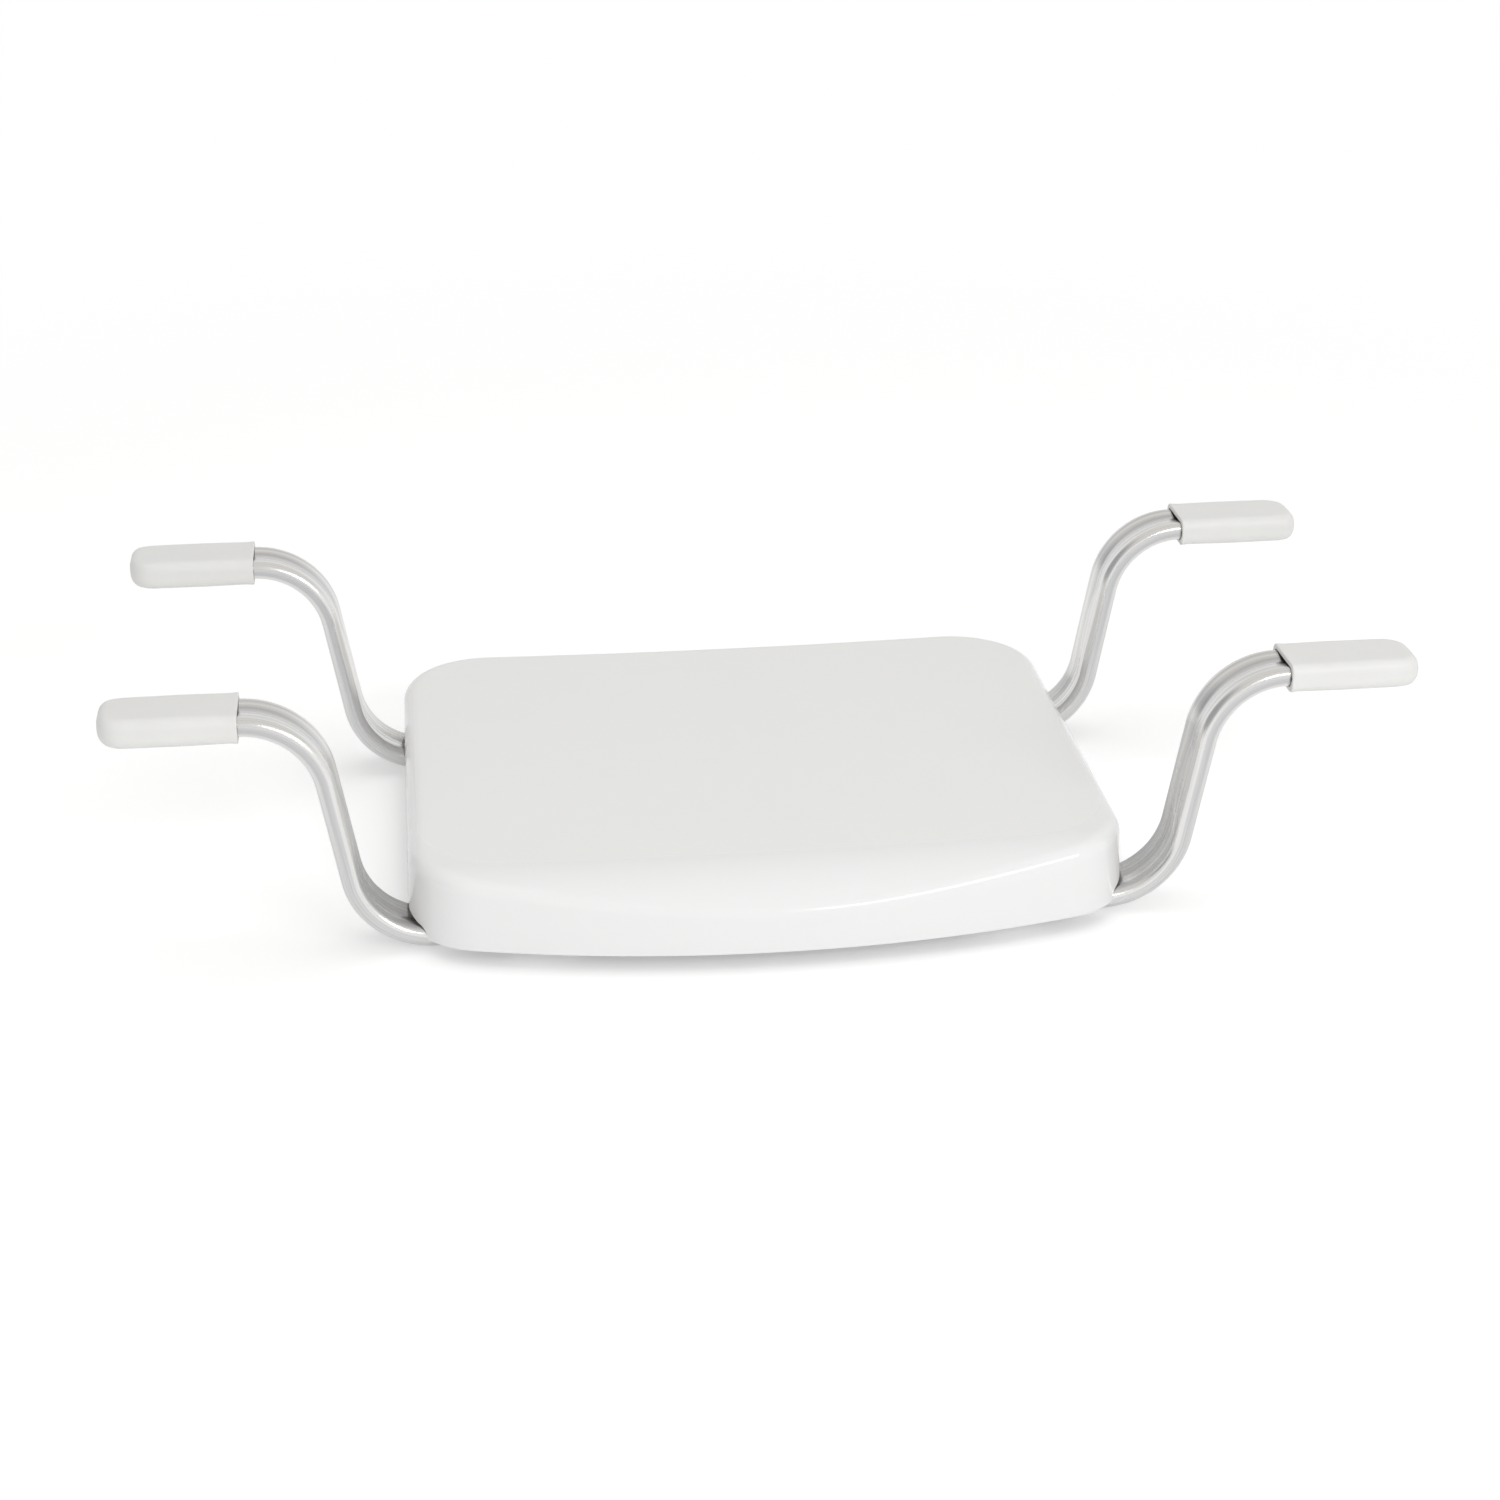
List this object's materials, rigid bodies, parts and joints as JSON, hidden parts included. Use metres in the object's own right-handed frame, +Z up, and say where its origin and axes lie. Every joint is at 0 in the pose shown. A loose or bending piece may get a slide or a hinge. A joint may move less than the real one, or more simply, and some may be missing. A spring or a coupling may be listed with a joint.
{
  "type": "bath seat",
  "caption": "Hanging bath seat: a dished moulded seat carried between the bath rims by bent flat-oval arms with soft rim sleeves, adjustable in width.",
  "frame": {"origin": "centre of the plan outline, level with the undersides of the saddles, the lowest faces", "axes": "+X across the bath towards the right-hand rim, +Y to the back edge of the seat, +Z up"},
  "size_m": [0.735, 0.354, 0.151],
  "materials": {
    "seat_plastic": "white moulded plastic, gloss border and grained matt seat panel",
    "tube_aluminium": "satin drawn tube",
    "grip_vinyl": "white soft vinyl, satin",
    "plug_plastic": "light grey polyethylene",
    "saddle_steel": "stamped stainless strip",
    "knob_plastic": "dark grey moulded",
    "screw_steel": "stainless",
    "insert_brass": "machined"
  },
  "bodies": {
    "seat": {"seat_shell": "seat_plastic", "saddle_screws": "screw_steel", "threaded_inserts": "insert_brass", "saddle_front_left": "saddle_steel", "saddle_front_right": "saddle_steel", "saddle_back_left": "saddle_steel", "saddle_back_right": "saddle_steel"},
    "arm_front_left": {"arm_front_left": "tube_aluminium", "tube_plug_front_left": "plug_plastic", "grip_front_left": "grip_vinyl"},
    "knob_front_left": {"knob_front_left": "knob_plastic", "knob_stud_front_left": "screw_steel"},
    "arm_front_right": {"arm_front_right": "tube_aluminium", "tube_plug_front_right": "plug_plastic", "grip_front_right": "grip_vinyl"},
    "knob_front_right": {"knob_front_right": "knob_plastic", "knob_stud_front_right": "screw_steel"},
    "arm_back_left": {"arm_back_left": "tube_aluminium", "tube_plug_back_left": "plug_plastic", "grip_back_left": "grip_vinyl"},
    "knob_back_left": {"knob_back_left": "knob_plastic", "knob_stud_back_left": "screw_steel"},
    "arm_back_right": {"arm_back_right": "tube_aluminium", "tube_plug_back_right": "plug_plastic", "grip_back_right": "grip_vinyl"},
    "knob_back_right": {"knob_back_right": "knob_plastic", "knob_stud_back_right": "screw_steel"}
  },
  "joints": [
    {"name": "front_left_arm_slide", "type": "slide", "parent": "seat", "child": "arm_front_left", "axis": [-1, 0, 0], "range_m": [0, 0.03]},
    {"name": "front_left_knob_turn", "type": "hinge", "parent": "seat", "child": "knob_front_left", "pos_m": [-0.13, -0.085, 0.0103], "axis": [0, 0, -1], "range_deg": [0, 360]},
    {"name": "front_right_arm_slide", "type": "slide", "parent": "seat", "child": "arm_front_right", "axis": [1, 0, 0], "range_m": [0, 0.03]},
    {"name": "front_right_knob_turn", "type": "hinge", "parent": "seat", "child": "knob_front_right", "pos_m": [0.13, -0.085, 0.0103], "axis": [0, 0, -1], "range_deg": [0, 360]},
    {"name": "back_left_arm_slide", "type": "slide", "parent": "seat", "child": "arm_back_left", "axis": [-1, 0, 0], "range_m": [0, 0.03]},
    {"name": "back_left_knob_turn", "type": "hinge", "parent": "seat", "child": "knob_back_left", "pos_m": [-0.13, 0.085, 0.0103], "axis": [0, 0, -1], "range_deg": [0, 360]},
    {"name": "back_right_arm_slide", "type": "slide", "parent": "seat", "child": "arm_back_right", "axis": [1, 0, 0], "range_m": [0, 0.03]},
    {"name": "back_right_knob_turn", "type": "hinge", "parent": "seat", "child": "knob_back_right", "pos_m": [0.13, 0.085, 0.0103], "axis": [0, 0, -1], "range_deg": [0, 360]}
  ]
}
